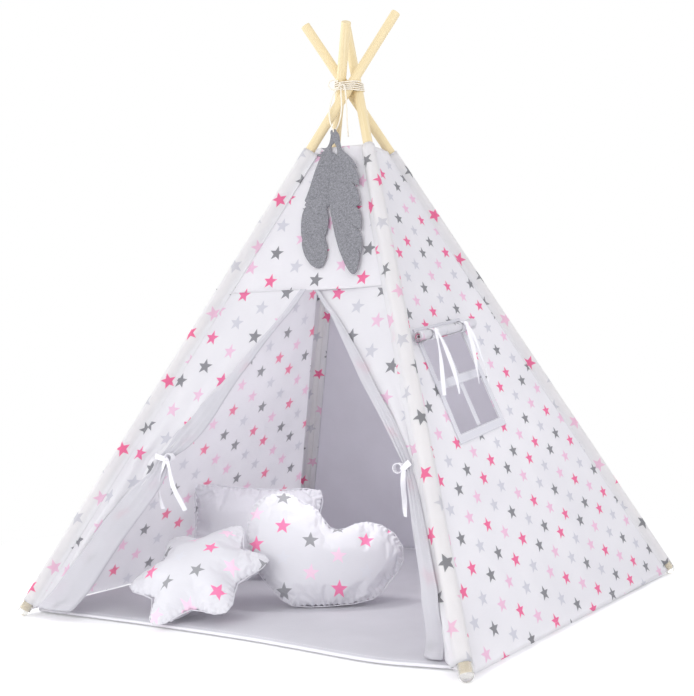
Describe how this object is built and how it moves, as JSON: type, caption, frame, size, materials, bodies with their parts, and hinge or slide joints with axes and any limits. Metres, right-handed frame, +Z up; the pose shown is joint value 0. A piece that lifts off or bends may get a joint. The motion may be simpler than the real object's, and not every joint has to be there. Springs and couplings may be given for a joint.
{
  "type": "kids teepee tent",
  "caption": "Four-pole kids play teepee with star-print cotton canopy, tied-back door, tie-up window, felt feathers, padded floor mat and three loose cushions.",
  "frame": {"origin": "on the floor under the crossing of the poles, at the middle of the base", "axes": "+Z up, the door faces -Y, the window is in the +X side"},
  "size_m": [1.2586, 1.1996, 1.4687],
  "materials": {
    "pine": "pale natural pine, lightly sanded, with fine grain",
    "clear_rubber": "translucent off-white rubber foot cap",
    "star_cotton": "white cotton printed with pink and grey stars",
    "white_cotton": "plain white cotton",
    "grey_cotton": "plain pale grey cotton, quilted over thin wadding",
    "pale_cotton": "plain light grey cotton",
    "rope_cotton": "twisted off-white cotton cord",
    "grey_felt": "mottled dark grey felt"
  },
  "bodies": {
    "floor_set": {"floor_mat": "grey_cotton", "mat_piping": "white_cotton"},
    "canopy_head": {"lashing": "rope_cotton", "lashing_knot": "rope_cotton", "lashing_bow": "rope_cotton", "lashing_tail": "rope_cotton", "canopy_left": "star_cotton", "canopy_right": "star_cotton", "canopy_back": "pale_cotton", "canopy_front": "star_cotton", "door_flap_left": "star_cotton", "door_flap_right": "star_cotton", "door_tie_left": "white_cotton", "door_tie_right": "white_cotton", "window_border": "pale_cotton", "window_tape_upright": "pale_cotton", "window_tape_level": "pale_cotton", "window_flap_roll": "star_cotton", "window_tie_near": "white_cotton", "window_tie_far": "white_cotton"},
    "leg_front_left": {"pole_front_left": "pine", "foot_cap_front_left": "clear_rubber", "sleeve_front_left": "white_cotton"},
    "leg_front_right": {"pole_front_right": "pine", "foot_cap_front_right": "clear_rubber", "sleeve_front_right": "white_cotton"},
    "leg_back_right": {"pole_back_right": "pine", "foot_cap_back_right": "clear_rubber", "sleeve_back_right": "white_cotton"},
    "leg_back_left": {"pole_back_left": "pine", "foot_cap_back_left": "clear_rubber", "sleeve_back_left": "white_cotton"},
    "feathers": {"feather_left": "grey_felt", "feather_right": "grey_felt", "feather_cord": "rope_cotton"},
    "star": {"cushion_star": "star_cotton"},
    "cloud": {"cushion_cloud": "star_cotton"},
    "pillow": {"cushion_pillow": "pale_cotton"}
  },
  "joints": [
    {"name": "lift", "type": "slide", "parent": "floor_set", "child": "canopy_head", "axis": [0, 0, 1], "range_m": [0, 1], "deforming": ["lashing", "canopy_left", "canopy_right", "canopy_back", "canopy_front", "door_flap_left", "door_flap_right", "door_tie_left", "door_tie_right", "window_border", "window_tape_upright", "window_tape_level", "window_flap_roll", "window_tie_near", "window_tie_far"]},
    {"name": "close_front_left", "type": "hinge", "parent": "canopy_head", "child": "leg_front_left", "pos_m": [0.01515, -0.01595, 1.278], "axis": [0.6886, -0.7251, 0], "range_deg": [0, 33.2]},
    {"name": "close_front_right", "type": "hinge", "parent": "canopy_head", "child": "leg_front_right", "pos_m": [0.01515, 0.01595, 1.278], "axis": [0.6886, 0.7251, 0], "range_deg": [0, 33.2]},
    {"name": "close_back_right", "type": "hinge", "parent": "canopy_head", "child": "leg_back_right", "pos_m": [-0.01515, 0.01595, 1.278], "axis": [-0.6886, 0.7251, 0], "range_deg": [0, 33.2]},
    {"name": "close_back_left", "type": "hinge", "parent": "canopy_head", "child": "leg_back_left", "pos_m": [-0.01515, -0.01595, 1.278], "axis": [-0.6886, -0.7251, 0], "range_deg": [0, 33.2]},
    {"name": "feather_swing", "type": "hinge", "parent": "canopy_head", "child": "feathers", "pos_m": [0.002, -0.0395, 1.278], "axis": [-1, 0, 0], "range_deg": [0, 60]},
    {"name": "star_out", "type": "slide", "parent": "floor_set", "child": "star", "axis": [0.2999, -0.7498, 0.5898], "range_m": [0, 0.15]},
    {"name": "cloud_out", "type": "slide", "parent": "floor_set", "child": "cloud", "axis": [-0.1962, 0.2802, 0.9397], "range_m": [0, 0.15]},
    {"name": "pillow_out", "type": "slide", "parent": "floor_set", "child": "pillow", "axis": [0.4949, 0.526, 0.6917], "range_m": [0, 0.15]}
  ],
  "couplings": [
    {"joint": "close_front_left", "follows": "lift", "rad_per_m": 0.57952},
    {"joint": "close_front_right", "follows": "lift", "rad_per_m": 0.57952},
    {"joint": "close_back_right", "follows": "lift", "rad_per_m": 0.57952},
    {"joint": "close_back_left", "follows": "lift", "rad_per_m": 0.57952}
  ]
}
